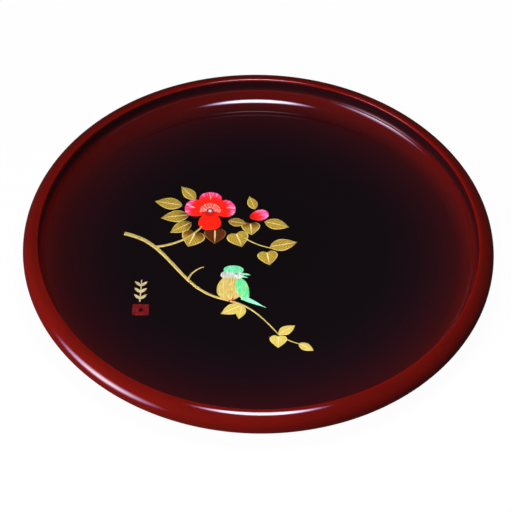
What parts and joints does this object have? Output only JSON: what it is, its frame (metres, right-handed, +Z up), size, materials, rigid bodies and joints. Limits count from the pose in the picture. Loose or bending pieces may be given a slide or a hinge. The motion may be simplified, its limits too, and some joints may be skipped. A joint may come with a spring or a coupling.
{
  "type": "round lacquered serving tray",
  "caption": "Round wooden serving tray with a fat rolled red lacquer rim, a dark shaded floor and a raised gold picture of a camellia branch with a small bird.",
  "frame": {"origin": "centre of the circle the foot ring stands on", "axes": "+Z up out of the tray, +Y towards the top of the picture, +X to the picture's right"},
  "size_m": [0.33, 0.3299, 0.0297],
  "materials": {
    "core_wood": "bare turned and planed hardwood, hidden under the lacquer",
    "tongue_wood": "bare planed hardwood strip",
    "foot_wood": "black lacquered ring, satin",
    "rim_red": "polished deep red lacquer, darker below",
    "floor_red_black": "polished lacquer, red at the wall fading to warm black",
    "base_black": "satin black lacquer",
    "branch_gold": "raised lacquer dusted with pale gold powder",
    "leaf_gold": "raised lacquer dusted with gold powder, fine scratched veins",
    "leaf_shaded": "gold powder fading to brown lacquer at the stalk",
    "leaf_brown": "brown lacquer with a pale gold midrib",
    "petal_red": "raised vermilion lacquer, pink at the tips",
    "petal_pink": "raised vermilion and pink lacquer",
    "stamen_cream": "fine raised cream lines",
    "pistil_blue": "raised pale blue lacquer",
    "bird_green": "raised mint green lacquer with a gold bloom",
    "bird_gold": "raised lacquer with fine gold feather strokes",
    "bird_white": "raised grey white lacquer",
    "bird_dark": "raised grey green lacquer",
    "bird_red": "raised red lacquer",
    "mark_gold": "thin raised pale gold",
    "mark_red": "raised dark red lacquer"
  },
  "bodies": {
    "root": {"base_lacquer": "base_black", "bird_beak": "bird_green", "bird_breast": "bird_gold", "bird_cap": "bird_green", "bird_eye": "bird_dark", "bird_face": "bird_white", "bird_legs": "bird_red", "bird_tail": "bird_green", "bird_wing": "bird_green", "branch_main": "branch_gold", "bud_petals": "petal_pink", "flower_pistil": "pistil_blue", "flower_stamens": "stamen_cream", "foot_hoop": "foot_wood", "inner_lacquer": "floor_red_black", "leaf_above_bud": "leaf_gold", "leaf_above_flower": "leaf_gold", "leaf_below_flower": "leaf_shaded", "leaf_beside_bud": "leaf_gold", "leaf_brown": "leaf_brown", "leaf_dark_right": "leaf_brown", "leaf_far_left": "leaf_gold", "leaf_heart_end": "leaf_gold", "leaf_heart_low": "leaf_gold", "leaf_heart_middle": "leaf_shaded", "leaf_heart_right": "leaf_shaded", "leaf_low_left": "leaf_shaded", "leaf_pointed_right": "leaf_gold", "leaf_shaded_left": "leaf_shaded", "leaves_branch_end": "leaf_gold", "leaves_by_bird": "leaf_gold", "mark_sprig": "mark_gold", "mark_tile": "mark_red", "petal_left": "petal_red", "petal_lower": "petal_red", "petal_right": "petal_red", "petal_top": "petal_red", "plank_left": "core_wood", "plank_middle": "core_wood", "plank_right": "core_wood", "rim_hoop": "core_wood", "rim_lacquer": "rim_red", "tongue_left": "tongue_wood", "tongue_right": "tongue_wood", "twig_end": "branch_gold", "twig_low": "branch_gold", "twig_side": "branch_gold", "twig_upper": "branch_gold"}
  },
  "joints": []
}
